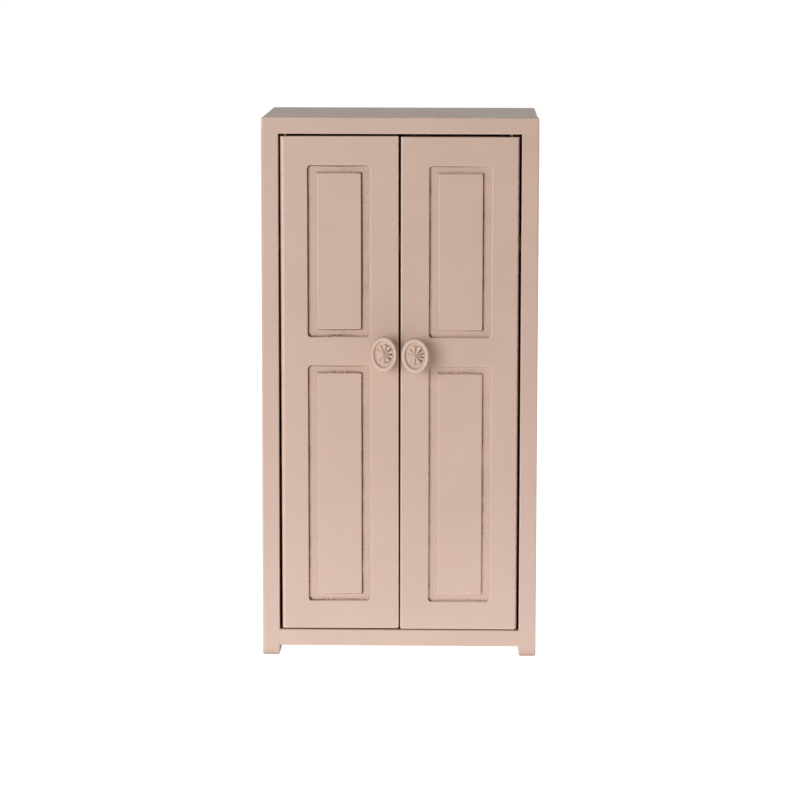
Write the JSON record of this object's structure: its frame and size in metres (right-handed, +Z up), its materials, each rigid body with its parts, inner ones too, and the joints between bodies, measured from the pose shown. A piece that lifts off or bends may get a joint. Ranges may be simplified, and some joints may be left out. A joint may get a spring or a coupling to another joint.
{
  "type": "miniature wardrobe",
  "caption": "Dolls' house wardrobe in painted board: double doors with routed panels and oval knobs swing on pin hinges in front of a hat shelf and a hanging rail.",
  "frame": {"origin": "on the floor, under the centre of the whole object's bounding box, knobs included", "axes": "+Z up; the doors face -Y; +X to the right seen from the front, so left and right in names are as seen facing the doors"},
  "size_m": [0.1, 0.083, 0.1969],
  "materials": {
    "painted_board": "satin powder-pink paint over fibreboard, slightly furry in the routed grooves",
    "painted_knob": "the same satin paint brushed over a small casting",
    "bare_dowel": "bare sanded birch, fine straight grain",
    "pin_steel": "plain bright steel, slightly dull",
    "filled_pin": "steel pins, heads set just below the surface and painted over"
  },
  "bodies": {
    "carcass": {"side_panel_left": "painted_board", "side_panel_right": "painted_board", "top_panel": "painted_board", "bottom_panel": "painted_board", "back_panel": "painted_board", "hat_shelf": "painted_board", "hanging_rail": "bare_dowel", "top_pin_left_front": "filled_pin", "top_pin_left_rear": "filled_pin", "base_pin_left_front": "filled_pin", "base_pin_left_rear": "filled_pin", "shelf_pin_left_front": "filled_pin", "shelf_pin_left_rear": "filled_pin", "back_pin_left_low": "filled_pin", "back_pin_left_mid": "filled_pin", "back_pin_left_high": "filled_pin", "top_pin_right_front": "filled_pin", "top_pin_right_rear": "filled_pin", "base_pin_right_front": "filled_pin", "base_pin_right_rear": "filled_pin", "shelf_pin_right_front": "filled_pin", "shelf_pin_right_rear": "filled_pin", "back_pin_right_low": "filled_pin", "back_pin_right_mid": "filled_pin", "back_pin_right_high": "filled_pin", "back_pin_top": "filled_pin", "back_pin_base": "filled_pin", "hinge_pin_left_top": "pin_steel", "hinge_pin_left_bottom": "pin_steel", "hinge_pin_right_top": "pin_steel", "hinge_pin_right_bottom": "pin_steel"},
    "left_leaf": {"door_left": "painted_board", "knob_left": "painted_knob", "knob_screw_left": "pin_steel"},
    "right_leaf": {"door_right": "painted_board", "knob_right": "painted_knob", "knob_screw_right": "pin_steel"}
  },
  "joints": [
    {"name": "left_door_hinge", "type": "hinge", "parent": "carcass", "child": "left_leaf", "pos_m": [-0.04105, -0.0305, 0.1], "axis": [0.0022, 0, -1], "range_deg": [0, 98]},
    {"name": "right_door_hinge", "type": "hinge", "parent": "carcass", "child": "right_leaf", "pos_m": [0.04025, -0.0305, 0.1], "axis": [0, 0, 1], "range_deg": [0, 98]}
  ]
}
